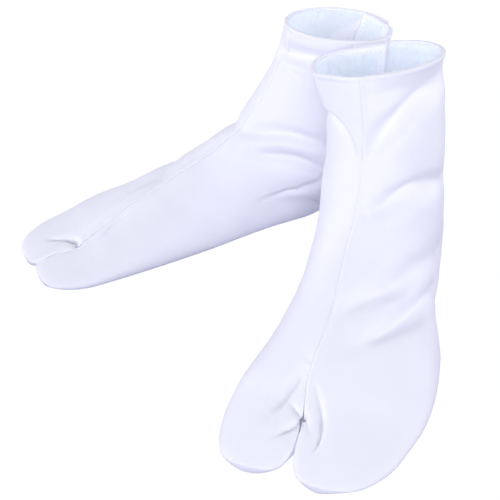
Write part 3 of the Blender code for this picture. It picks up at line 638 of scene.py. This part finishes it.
def tricot_material(name, glow):
    """Stretch tricot of nylon and spandex, warp knitted and heat set: smooth, dense and
    white, with a soft even sheen and fine upright wales that only show close up. Where it
    is turned in, light comes through the sock behind it; the glow is painted light that
    stands for that, and between the toes the same painted glow lifts the split's shade."""
    wale = .0009             # 11 wales to the centimetre
    material, tree, shader = new_material(name, {
        "Roughness": .58, "IOR": 1.5, "Specular IOR Level": .35, "Sheen Weight": .22,
        "Sheen Roughness": .45, "Sheen Tint": linear("EEEEFF"),
        "Emission Color": linear("F0F0FC"), "Emission Strength": glow})
    cloth = add_node(tree, "ShaderNodeUVMap", uv_map="cloth")
    wales = add_node(tree, "ShaderNodeTexWave", {"Vector": cloth.outputs["UV"]},
                     {"Scale": 2*np.pi/(20*wale), "Distortion": .4, "Detail": 1.0},
                     wave_type="BANDS", bands_direction="X")
    place_of = add_node(tree, "ShaderNodeTexCoord")
    soft = add_node(tree, "ShaderNodeTexNoise", {"Vector": place_of.outputs["Object"]},
                    {"Scale": 55.0, "Detail": 3.0, "Roughness": .55})
    tint = add_node(tree, "ShaderNodeMix", {"Factor": soft.outputs["Fac"]},
                    {"A": linear("F2F2FB"), "B": linear("FAFAFF")}, data_type="RGBA")
    tree.links.new(tint.outputs["Result"], shader.inputs["Base Color"])
    first = add_node(tree, "ShaderNodeBump", {"Height": wales.outputs["Fac"]},
                     {"Strength": .35, "Distance": .00004})
    second = add_node(tree, "ShaderNodeBump",
                      {"Height": soft.outputs["Fac"], "Normal": first.outputs["Normal"]},
                      {"Strength": .4, "Distance": .0006})
    tree.links.new(second.outputs["Normal"], shader.inputs["Normal"])
    return material


def flannel_material():
    """Brushed cotton flannel: a matt, pale blue-white pile that swallows highlights and
    looks clouded where the nap lies this way and that. White cloth lets light through, so
    the inside of a sock is never dark; a little light of its own stands for that."""
    nap = .0011              # length of a tuft of nap
    material, tree, shader = new_material("brushed_flannel", {
        "Roughness": .95, "IOR": 1.45, "Specular IOR Level": .1, "Sheen Weight": .5,
        "Sheen Roughness": .7, "Sheen Tint": linear("EAF3FF"),
        "Emission Color": linear("E6EAF6"), "Emission Strength": .20})
    place_of = add_node(tree, "ShaderNodeTexCoord")
    clouds = add_node(tree, "ShaderNodeTexNoise", {"Vector": place_of.outputs["Object"]},
                      {"Scale": .22/nap, "Detail": 5.0, "Roughness": .7})
    tufts = add_node(tree, "ShaderNodeTexNoise", {"Vector": place_of.outputs["Object"]},
                     {"Scale": 1/nap, "Detail": 3.0, "Roughness": .7})
    tint = add_node(tree, "ShaderNodeMix", {"Factor": clouds.outputs["Fac"]},
                    {"A": linear("D2DBE6"), "B": linear("F2F5FA")}, data_type="RGBA")
    tree.links.new(tint.outputs["Result"], shader.inputs["Base Color"])
    bump = add_node(tree, "ShaderNodeBump", {"Height": tufts.outputs["Fac"]},
                    {"Strength": .9, "Distance": .0006})
    tree.links.new(bump.outputs["Normal"], shader.inputs["Normal"])
    return material


TRICOT = tricot_material("white_stretch_tricot", 0.0)
# The turned-in copy and the copy between the toes glow: painted light, not a lamp
TURNED_IN_GLOW = tricot_material("white_stretch_tricot_turned_in_glow", .10)
BETWEEN_TOES_GLOW = tricot_material("white_stretch_tricot_between_toes_glow", .12)
FLANNEL = flannel_material()

# What each panel was cut to: width, length and area of the flat piece, in metres
PANEL_CUT = {"medial": (.200, .340, .0310), "lateral": (.215, .345, .0360)}
# Small forms of the sewn cloth, each as height and width, in centimetres
SEAM_RIDGE, SEAM_RIDGE_AT, SEAM_RIDGE_WIDE = .045, .17, .10   # allowances beside the seam
RIM_ROLL, RIM_ROLL_AT, RIM_ROLL_WIDE = .06, .16, .13   # the turned rim stands out, soft
SEAM_THIN, SEAM_THIN_WIDE = .05, .12     # the cloth is pressed thin at the seam
SEAM_DIP, SEAM_DIP_WIDE = {"left": .01, "right": .05}, .07   # and sinks between the panels
HEM_STEP, HEM_DEPTH, HEM_FADE = .03, 1.02, .16   # the hem inside lifts the cloth over it
PUCKER, PUCKER_WIDE = .012, .35          # the seam's thread draws the cloth in
SEEN_TURNED = 2          # the outer cloth is shown this many widths in, under the lining
FACING_FADE = .35        # the turned-in cloth thins out over this share of its width

# How much of the outer cloth is turned in over the lining: along the rim at the front and
# at the back, along the free back edge, and how much wider that gets towards the ankle
FACINGS = {
    ("left", "medial"): (.15, .52, .50, 0.0),
    ("left", "lateral"): (.22, .20, .50, 0.0),
    ("right", "medial"): (.18, .24, .50, 0.0),
    ("right", "lateral"): (.18, .24, 1.2, 1.9)}

FLAP_WIDEST = 3          # how fast it narrows again
FRONT_TO, BACK_FROM = .6, .9     # how far round the front's width and the back's reach


def rim_facing(sock, side, share):
    """How wide the turned-in cloth is below the rim; share is how far round it lies from
    the front seam."""
    front, back = FACINGS[sock, side][:2]
    return front+(back-front)*ease((share-FRONT_TO)/(BACK_FROM-FRONT_TO))


def flap_facing(sock, side, from_rim):
    """How wide the turned-in cloth is along the free back edge; where it widens, it is
    widest a little below the rim."""
    flap, spread = FACINGS[sock, side][2:]
    return flap+spread*from_rim*np.exp(-(from_rim/FLAP_WIDEST)**2)


def facing_share(sock, side, from_rim, from_flap, share):
    """How far a point lies in from the edge, in widths of the turned-in cloth."""
    return np.minimum(from_rim/rim_facing(sock, side, share),
                      from_flap/flap_facing(sock, side, from_rim))


def build_panel(sock, side):
    """A panel as points with folds, normals and all that its lining and facing need."""
    tube = panel_tube(sock, side)
    mound, tip, gone = toe_mound(sock, side, tube["grid"][-1])
    mound = even_ring(tube, mound)
    points, faces, spread, index, mound_rows = panel_mesh(tube, mound, tip, gone)
    if side == "medial":
        faces = [(f[1], f[0], f[3], f[2]) if f[2] != f[3] else (f[1], f[0], f[3], f[3])
                 for f in faces]
    normals = vertex_normals(points, faces)
    moved = folded(sock, points, normals)

    run, depth, station = tube["run"], tube["depth"], tube["station"]
    from_rim = np.repeat(depth[:, None], run.shape[1], 1)
    from_flap = np.where((station < OPENING_STATION)[:, None], tube["length"][:, None]-run, 9.)
    near = facing_share(sock, side, from_rim, from_flap, run/tube["length"][:, None]).ravel()
    thickness = np.full(len(points), CLOTH)
    thickness[:near.size] = (CLOTH+(HEM-CLOTH)*(1-ease((near-1)/FACING_FADE))
                             - SEAM_THIN*np.exp(-(run.ravel()/SEAM_THIN_WIDE)**2))
    raised = np.zeros(len(points))
    raised[:near.size] = HEM_STEP*(1-ease((from_rim.ravel()-HEM_DEPTH)/HEM_FADE+.5))
    if side == "lateral":
        ridge = SEAM_RIDGE*np.exp(-((run-SEAM_RIDGE_AT)/SEAM_RIDGE_WIDE)**2)
        ridge *= 1+.35*np.sin(depth*10.3)[:, None]*np.sin(depth*2.3)[:, None]
        raised[:run.size] += ridge.ravel()
    raised[:run.size] -= (SEAM_DIP[sock]*np.exp(-(run/SEAM_DIP_WIDE)**2)).ravel()
    raised[:run.size] += RIM_ROLL*np.exp(-((from_rim.ravel()-RIM_ROLL_AT)/RIM_ROLL_WIDE)**2)
    pucker = PUCKER*np.exp(-(run/PUCKER_WIDE)**2)
    pucker = pucker*np.sin(depth*11+1.5*np.sin(depth*1.7))[:, None]
    raised[:run.size] += pucker.ravel()
    moved += normals*raised[:, None]
    moved[:, 2] = np.maximum(moved[:, 2], 0)
    normals = vertex_normals(moved, faces)

    reach = np.full(len(points), SEAM_INSET)
    reach[index[0]] = HEM_INSET
    free = station < OPENING_STATION+.1
    reach[index[free, -1]] = HEM_INSET
    count, wide = index.shape
    corner = np.minimum(np.minimum(near[:-1-wide], near[1:-wide]), near[wide:-1])
    turned = {r*(wide-1)+c for r in range(count-1) for c in range(wide-1)
              if corner[r*wide+c] < SEEN_TURNED}
    # Web faces between the toes, past the first rows, take the glowing tricot: painted light
    # in the split's shade
    wall = {int(i) for row in mound_rows[CROTCH_ROWS:] for i in row[:WEB_COLUMNS]}
    between = {k for k, f in enumerate(faces) if wall.issuperset(int(i) for i in f)}
    down = [i for row in mound_rows for i in (row[0], row[-1])]
    down += [index[r, -1] for r in range(len(station)) if station[r] >= HEEL_STATION]
    normals[down] = (0, 0, -1)
    return {"points": moved, "normals": normals, "faces": faces, "spread": spread,
            "thickness": thickness, "reach": reach, "index": index, "tube": tube,
            "mound_rows": mound_rows, "turned": turned, "between": between}


PANELS = {(sock, side): build_panel(sock, side)
          for sock in ("left", "right") for side in ("medial", "lateral")}

for (sock, side), panel in PANELS.items():
    points, outer, lips, inner, spreads = shell(panel["points"], panel["normals"],
                                                panel["faces"], panel["thickness"],
                                                panel["reach"], panel["spread"])
    name = f"{sock}_{side}_cloth"
    facing = [f for k, f in enumerate(inner) if k in panel["turned"]]
    inner = [f for k, f in enumerate(inner) if k not in panel["turned"]]
    # the cloth between the toes takes the glowing tricot, painted light that lifts its shade
    wall = [f for k, f in enumerate(outer) if k in panel["between"]]
    outer = [f for k, f in enumerate(outer) if k not in panel["between"]]
    piece = add_cloth(name, sock, (points, (outer, wall, lips, facing, inner), spreads),
                      (TRICOT, BETWEEN_TOES_GLOW, TRICOT, TURNED_IN_GLOW, FLANNEL))
    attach(piece, "root")
    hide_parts(f"{sock}_{side}_panel")
    width, length, area = PANEL_CUT[side]


# ---------------------------------------------------------------------------------------
# Linings. Each panel carries its own lining of brushed flannel inside the shaft. It starts
# under the turned edge of the mouth and the back, and is caught in the front seam.

NAP = 0.11               # thickness of the flannel
LINING_DEPTH = 0.12      # how far under the outer side of the panel it starts
LINING_START = 0.12      # how far below the rim it starts, inside the turned edge
LINING_FINER = 2         # its columns are this much closer than the panel's
LINING_STATION = 3       # the lining ends at this station
LINING_THIN, LINING_FADE = .6, .6   # it is pared thinner by this share over this length
LINING_LIP = .04         # how far its cut edge reaches
GATHER = 0.03            # height of the small waves between the pleats
PLEAT_SWAY = .012        # how far a pleat wanders as it runs down, as a share of the way round
MOUTH_HALF = 12          # about how far it is round one half of the mouth
# Pleats where it is caught unevenly: how far round, height and width
PLEATS = {("left", "medial"): ((.655, .17, .11), (.700, .14, .10), (.86, .08, .25)),
          ("left", "lateral"): ((.70, .10, .22), (.83, .12, .16)),
          ("right", "medial"): ((.62, .09, .25), (.80, .10, .18)),
          ("right", "lateral"): ((.30, .08, .25), (.52, .10, .22))}
LINING_CUT = {"medial": (.110, .090, .0078), "lateral": (.125, .090, .0092)}

for (sock, side), panel in PANELS.items():
    tube, index = panel["tube"], panel["index"]
    rows = [r for r in range(len(index)) if tube["depth"][r] > LINING_START
            and tube["station"][r] <= LINING_STATION+.05]
    wide = index.shape[1]-4
    take = index[rows][:, :wide]
    fine = np.linspace(0, wide-1, LINING_FINER*(wide-1)+1)
    low = np.minimum(fine.astype(int), wide-2)
    step = (fine-low)[:, None]
    points, normals, spread = (a[take][:, low]*(1-step)+a[take][:, low+1]*step for a in (
        panel["points"], panel["normals"], panel["spread"]))
    wide = len(fine)
    down = tube["depth"][rows][:, None]
    share = spread[:, :, 0]/tube["length"][rows][:, None]
    gather = GATHER*np.sin(spread[:, :, 0]*2.25+1.3*np.sin(down))*ease((down-.4)/.8)
    for at, height, width in PLEATS[sock, side]:
        across = (share-at+PLEAT_SWAY*np.sin(1.7*down))*MOUTH_HALF/width
        gather += height*np.exp(-across**2)*ease((down-.2)/.3)*(1-ease((down-2)/1.6))
    points = points-normals*(LINING_DEPTH+np.maximum(gather, 0))[..., None]
    points, normals = points.reshape(-1, 3), normals.reshape(-1, 3)
    cell = np.arange(len(rows)*wide).reshape(len(rows), wide)
    faces = [(cell[r, c], cell[r+1, c], cell[r+1, c+1], cell[r, c+1])
             for r in range(len(rows)-1) for c in range(wide-1)]
    if side == "medial":
        faces = [(f[1], f[0], f[3], f[2]) for f in faces]
    thin = LINING_THIN*ease((down[:, 0]-down[-1, 0])/LINING_FADE+1)
    parts = shell(points, normals, faces, np.repeat(NAP*(1-thin), wide),
                  np.full(len(points), LINING_LIP), spread.reshape(-1, 2))
    piece = add_cloth(f"{sock}_{side}_flannel", sock, (parts[0], parts[1:4], parts[4]),
                      (FLANNEL, FLANNEL, FLANNEL))
    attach(piece, "root")
    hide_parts(f"{sock}_{side}_lining")
    width, length, area = LINING_CUT[side]


# ---------------------------------------------------------------------------------------
# Soles. Each sole is one flat piece of close plain-woven cotton with a tongue under the
# big toe and one under the other four. It is sewn to both panels all round.

SOLE = 0.13              # thickness of the sole cloth
SOLE_INSET = 0.05        # its edge rolls in by this much
SOLE_CUT = (.105, .245, .0160)


def sole_material():
    """Plain-woven cotton, close and slightly heavier than the uppers: matt off-white with
    a square weave drawn at twice its real thread spacing so that it can be seen."""
    thread = .0008
    material, tree, shader = new_material("plain_woven_cotton", {
        "Roughness": .85, "IOR": 1.5, "Specular IOR Level": .2, "Sheen Weight": .15,
        "Sheen Roughness": .6})
    place_of = add_node(tree, "ShaderNodeTexCoord")
    height = []
    for way in ("X", "Y"):
        wave = add_node(tree, "ShaderNodeTexWave", {"Vector": place_of.outputs["Object"]},
                        {"Scale": 2*np.pi/(20*thread), "Distortion": .6, "Detail": 1.0},
                        wave_type="BANDS", bands_direction=way)
        height.append(wave.outputs["Fac"])
    weave = add_node(tree, "ShaderNodeMath", operation="MULTIPLY")
    for k in (0, 1):
        tree.links.new(height[k], weave.inputs[k])
    tint = add_node(tree, "ShaderNodeMix", {"Factor": weave.outputs["Value"]},
                    {"A": linear("E6E6EE"), "B": linear("F5F5FA")}, data_type="RGBA")
    tree.links.new(tint.outputs["Result"], shader.inputs["Base Color"])
    bump = add_node(tree, "ShaderNodeBump", {"Height": weave.outputs["Value"]},
                    {"Strength": .6, "Distance": .0001})
    tree.links.new(bump.outputs["Normal"], shader.inputs["Normal"])
    return material


COTTON = sole_material()

for sock in ("left", "right"):
    med, lat = PANELS[sock, "medial"], PANELS[sock, "lateral"]
    floor_rows = [r for r in range(len(med["index"]))
                  if med["tube"]["station"][r] >= HEEL_STATION]
    foot, toes = len(floor_rows), len(med["mound_rows"])
    path = [med["points"][med["index"][r, -1]] for r in floor_rows]
    path += [med["points"][row[-1]] for row in med["mound_rows"][1:]]+[med["points"][-1]]
    path += [med["points"][row[0]] for row in med["mound_rows"][::-1]]
    path += [lat["points"][row[0]] for row in lat["mound_rows"]]+[lat["points"][-1]]
    path += [lat["points"][row[-1]] for row in lat["mound_rows"][:0:-1]]
    path += [lat["points"][lat["index"][r, -1]] for r in floor_rows[::-1]]
    path = np.array(path)
    n = len(path)
    ahead = np.roll(path, -1, 0)-np.roll(path, 1, 0)
    inward = np.stack([-ahead[:, 1], ahead[:, 0]], 1)
    inward /= np.linalg.norm(inward, axis=1)[:, None]+1e-9
    if (inward*(path.mean(0)-path)[:, :2]).sum() < 0:
        inward = -inward
    layers = []
    for share in (0, .2, .5, .8, 1):
        layer = path.copy()
        layer[:, :2] += inward*SOLE_INSET*(abs(2*share-1)**2)
        layer[:, 2] = SOLE*share
        layers.append(layer)
    flat = [(r, r+1, n-2-r, n-1-r) for r in range(foot-2)]
    inner = foot+2*toes-1        # the medial toe's inner edge ends here, at the split
    flat.append((foot-2, foot-1, inner, inner+1, n-foot, n-foot+1))
    for k in range(toes-1):
        flat.append((foot-1+k, foot+k, inner-1-k, inner-k))
        flat.append((inner+1+k, inner+2+k, n-foot-1-k, n-foot-k))
    flat.append((foot+toes-2, foot+toes-1, foot+toes))
    flat.append((inner+toes, inner+toes+1, inner+toes+2))
    last = 4*n
    faces = [f[::-1] for f in flat]+[tuple(k+last for k in f) for f in flat]
    faces += [(m*n+k, m*n+(k+1) % n, (m+1)*n+(k+1) % n, (m+1)*n+k)
              for m in range(4) for k in range(n)]
    mesh = bpy.data.meshes.new(f"{sock}_sole_cloth")
    mesh.from_pydata([tuple(p) for p in place(np.vstack(layers), sock)], [], faces)
    if sock == "right":
        mesh.flip_normals()
    mesh.update()
    mesh.materials.append(COTTON)
    piece = put_in_scene(mesh.name, mesh)
    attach(piece, "root")
    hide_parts(f"{sock}_sole")
    width, length, area = SOLE_CUT


# ---------------------------------------------------------------------------------------
# Sewing. White cotton thread holds the turned-in edges down on the lining, in rows of short
# stitches round the inside of each mouth and down beside the opening at the back.

THREAD = .0005           # thickness of the thread, in metres
STITCH = .0019           # length of a stitch that shows
PITCH = .0031            # from one stitch to the next
ROW_INSET = .8           # the row runs on the facing, this share of its width in
ROW_START, ROW_POINTS = .4, 90   # it starts this far from the front seam, along the rim
ROW_END_STATION = OPENING_STATION-.3   # and ends above the end of the opening


def thread_material():
    """Spun cotton thread, white and matt, with a twist far too fine to draw."""
    material, tree, shader = new_material("white_cotton_thread", {
        "Roughness": .7, "IOR": 1.5, "Sheen Weight": .2})
    place_of = add_node(tree, "ShaderNodeTexCoord")
    lint = add_node(tree, "ShaderNodeTexNoise", {"Vector": place_of.outputs["Object"]},
                    {"Scale": 900.0, "Detail": 2.0})
    tint = add_node(tree, "ShaderNodeMix", {"Factor": lint.outputs["Fac"]},
                    {"A": linear("E4E4EC"), "B": linear("FAFAFF")}, data_type="RGBA")
    tree.links.new(tint.outputs["Result"], shader.inputs["Base Color"])
    return material


def stitch_tree(material):
    """Geometry Nodes: a stitch at every step along the lines, lying along them."""
    tree = bpy.data.node_groups.new("facing_stitches", "GeometryNodeTree")
    tree.interface.new_socket("Lines", in_out="INPUT", socket_type="NodeSocketGeometry")
    for name in ("Pitch", "Length", "Thickness"):
        tree.interface.new_socket(name, in_out="INPUT", socket_type="NodeSocketFloat")
    tree.interface.new_socket("Stitches", in_out="OUTPUT", socket_type="NodeSocketGeometry")
    given = add_node(tree, "NodeGroupInput").outputs
    curve = add_node(tree, "GeometryNodeMeshToCurve", {"Mesh": given["Lines"]})
    steps = add_node(tree, "GeometryNodeResampleCurve",
                     {"Curve": curve.outputs["Curve"], "Length": given["Pitch"]},
                     mode="LENGTH")
    ball = add_node(tree, "GeometryNodeMeshUVSphere", values={"Segments": 6, "Rings": 5,
                                                              "Radius": .5})
    size = add_node(tree, "ShaderNodeCombineXYZ",
                    {"X": given["Thickness"], "Y": given["Thickness"], "Z": given["Length"]})
    stitch = add_node(tree, "GeometryNodeTransform",
                      {"Geometry": ball.outputs["Mesh"], "Scale": size.outputs["Vector"]})
    along = add_node(tree, "GeometryNodeInputTangent")
    turn = add_node(tree, "FunctionNodeAlignRotationToVector",
                    {"Vector": along.outputs["Tangent"]}, axis="Z")
    placed = add_node(tree, "GeometryNodeInstanceOnPoints",
                      {"Points": steps.outputs["Curve"],
                       "Instance": stitch.outputs["Geometry"],
                       "Rotation": turn.outputs["Rotation"]})
    real = add_node(tree, "GeometryNodeRealizeInstances",
                    {"Geometry": placed.outputs["Instances"]})
    dressed = add_node(tree, "GeometryNodeSetMaterial",
                       {"Geometry": real.outputs["Geometry"]}, {"Material": material})
    add_node(tree, "NodeGroupOutput", {"Stitches": dressed.outputs["Geometry"]})
    return tree


def on_facing(panel, depth, run):
    """Points just inside the turned-in edge at these depths below the rim and distances
    round from the front seam."""
    tube, index = panel["tube"], panel["index"]
    row = np.interp(depth, tube["depth"], np.arange(len(tube["depth"])))
    places = []
    for r, s in zip(row, run):
        k = min(int(r), len(index)-2)
        ends = []
        for j in (k, k+1):
            inside = (panel["points"]-panel["normals"]*(panel["thickness"]
                      + THREAD/CM*.2)[:, None])[index[j]]
            ends.append([np.interp(s, tube["run"][j], inside[:, i]) for i in range(3)])
        places.append((1-(r-k))*np.array(ends[0])+(r-k)*np.array(ends[1]))
    return np.array(places)


STITCHES = stitch_tree(thread_material())

for (sock, side), panel in PANELS.items():
    tube = panel["tube"]
    whole = tube["length"][0]
    run = np.linspace(ROW_START, whole-flap_facing(sock, side, 0)*ROW_INSET, ROW_POINTS)
    rim = ROW_INSET*rim_facing(sock, side, run/whole)
    free = [r for r in range(len(tube["depth"])) if rim[-1] < tube["depth"][r]
            and tube["station"][r] < ROW_END_STATION]
    depth = np.r_[np.maximum(rim, RIM_ROWS[0]+.01), tube["depth"][free]]
    run = np.r_[run, [tube["length"][r]-ROW_INSET*flap_facing(sock, side, tube["depth"][r])
                     for r in free]]
    line = place(on_facing(panel, depth, run), sock)
    mesh = bpy.data.meshes.new(f"{sock}_{side}_stitches")
    mesh.from_pydata([tuple(p) for p in line], [(k, k+1) for k in range(len(line)-1)], [])
    piece = put_in_scene(mesh.name, mesh)
    sewing = piece.modifiers.new("sewing", "NODES")
    sewing.node_group = STITCHES
    for item in STITCHES.interface.items_tree:
        if item.in_out == "INPUT" and item.name in ("Pitch", "Length", "Thickness"):
            sewing[item.identifier] = {"Pitch": PITCH, "Length": STITCH,
                                       "Thickness": THREAD}[item.name]
    made = bpy.data.meshes.new_from_object(
        piece.evaluated_get(bpy.context.evaluated_depsgraph_get()))
    piece.modifiers.remove(sewing)
    piece.data = made
    made.name = piece.name
    made.shade_smooth()
    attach(piece, "root")


# ---------------------------------------------------------------------------------------
# Stage: a plain white floor lit from behind, soft boxes in front, at both sides and behind
# the pair, and a room that is brightest a little above the horizon.

EYE = (.0175, -.5225, .4262)
CAMERA_TILT = np.radians(90-36.2926)
camera = put_in_scene("camera", bpy.data.cameras.new("camera"))
camera.location = EYE
camera.rotation_euler = (CAMERA_TILT, 0, 0)
camera.data.lens = 72.33
camera.data.sensor_width = 36
camera.data.clip_end = 20
bpy.context.scene.camera = camera


def paper_material(name, base, glow, dim=None):
    """Smooth white paper, matt; a glow stands for the light that comes through it, and dim is
    a painted shadow: its darker colour close to the pair, where the pair keeps the light off
    it."""
    material, tree, shader = new_material(name, {
        "Base Color": linear(base), "Roughness": .9, "Specular IOR Level": 0.0,
        "Emission Color": linear("FFFFFF"), "Emission Strength": glow})
    if dim:
        place_of = add_node(tree, "ShaderNodeTexCoord")
        away = add_node(tree, "ShaderNodeVectorMath", {"Vector": place_of.outputs["Object"]},
                        operation="LENGTH")
        share = add_node(tree, "ShaderNodeMapRange", {"Value": away.outputs["Value"]},
                         {"From Min": DIM_REACH[0], "From Max": DIM_REACH[1]})
        tint = add_node(tree, "ShaderNodeMix", {"Factor": share.outputs["Result"]},
                        {"A": linear(dim), "B": linear(base)}, data_type="RGBA")
        tree.links.new(tint.outputs["Result"], shader.inputs["Base Color"])
    return material


# Two sheets lie on each other: the eye sees the back-lit one, and the socks take their
# reflected light from the other, which has a painted shadow close to the pair, so that light
# is weak near the cloth
FLOOR_HALF, FLOOR_LEVEL = 8, -.0003
# The painted shadow on the hidden sheet fades out between these distances from the pair's
# middle
DIM_REACH = (.18, .60)
for name, base, glow, dim, seen in (("floor_seen", "7A7A7A", 1.0, None, True),
                                    ("floor_bounce", "D8D8DC", 0.0, "A4A6BE", False)):
    mesh = bpy.data.meshes.new(name)
    mesh.from_pydata([(x*FLOOR_HALF, y*FLOOR_HALF, FLOOR_LEVEL)
                      for x, y in ((-1, -1), (1, -1), (1, 1), (-1, 1))], [], [(0, 1, 2, 3)])
    mesh.materials.append(paper_material(name, base, glow, dim))
    floor = put_in_scene(name, mesh)
    floor.visible_camera = seen
    floor.visible_diffuse = floor.visible_glossy = not seen
    floor.visible_shadow = not seen

# One row per light: name, place, size, watts, colour; all look at the pair's middle
AIM_HEIGHT = .06
LIGHTS = (("key", (-.60, -1.30, .60), .5, 5.7, "FCFCFF"),
          ("front_box", (.1, -1.2, 1.2), .6, 6.2, "FCFCFF"),
          ("left_box", (-1.3, -.80, .25), .8, 1.8, "FAFAFF"),
          ("right_box", (1.15, -1.0, .30), .8, 2.0, "FAFAFF"),
          ("left_rear_box", (-1.2, .7, .7), .8, 7.4, "FAFAFF"),
          ("right_rear_box", (1.2, .6, .7), .8, 6.9, "F8F8FF"))
for name, where, size, watts, colour in LIGHTS:
    data = bpy.data.lights.new(name, "AREA")
    data.shape, data.size, data.energy = "SQUARE", size, watts
    data.color = linear(colour)[:3]
    lamp = put_in_scene(name, data)
    lamp.location = where
    look = -np.array(where)+(0, 0, AIM_HEIGHT)
    yaw = np.arctan2(look[1], look[0])-np.pi/2
    pitch = np.arctan2(np.hypot(look[0], look[1]), -look[2])
    lamp.rotation_euler = (pitch, 0, yaw)

# The room's light: height (0 straight down, 1 straight up) and colour; brightest a little
# above the horizon, and dim and blue overhead
ROOM = ((0.0, "888A9C"), (.58, "888A9C"), (.68, "FAFBFF"), (.79, "565862"), (1.0, "656672"))
ROOM_STRENGTH = 1.50
world = bpy.data.worlds.new("soft_room")
world.use_nodes = True
tree = world.node_tree
around = add_node(tree, "ShaderNodeTexCoord")
split = add_node(tree, "ShaderNodeSeparateXYZ", {"Vector": around.outputs["Generated"]})
height = add_node(tree, "ShaderNodeMapRange", {"Value": split.outputs["Z"]},
                  {"From Min": -1.0, "From Max": 1.0})
ramp = add_node(tree, "ShaderNodeValToRGB", {"Fac": height.outputs["Result"]})
while len(ramp.color_ramp.elements) < len(ROOM):
    ramp.color_ramp.elements.new(.5)
for stop, (at, colour) in zip(ramp.color_ramp.elements, ROOM):
    stop.position, stop.color = at, linear(colour)
tree.links.new(ramp.outputs["Color"], tree.nodes["Background"].inputs["Color"])
tree.nodes["Background"].inputs["Strength"].default_value = ROOM_STRENGTH
bpy.context.scene.world = world
bpy.context.scene.view_settings.view_transform = "Standard"
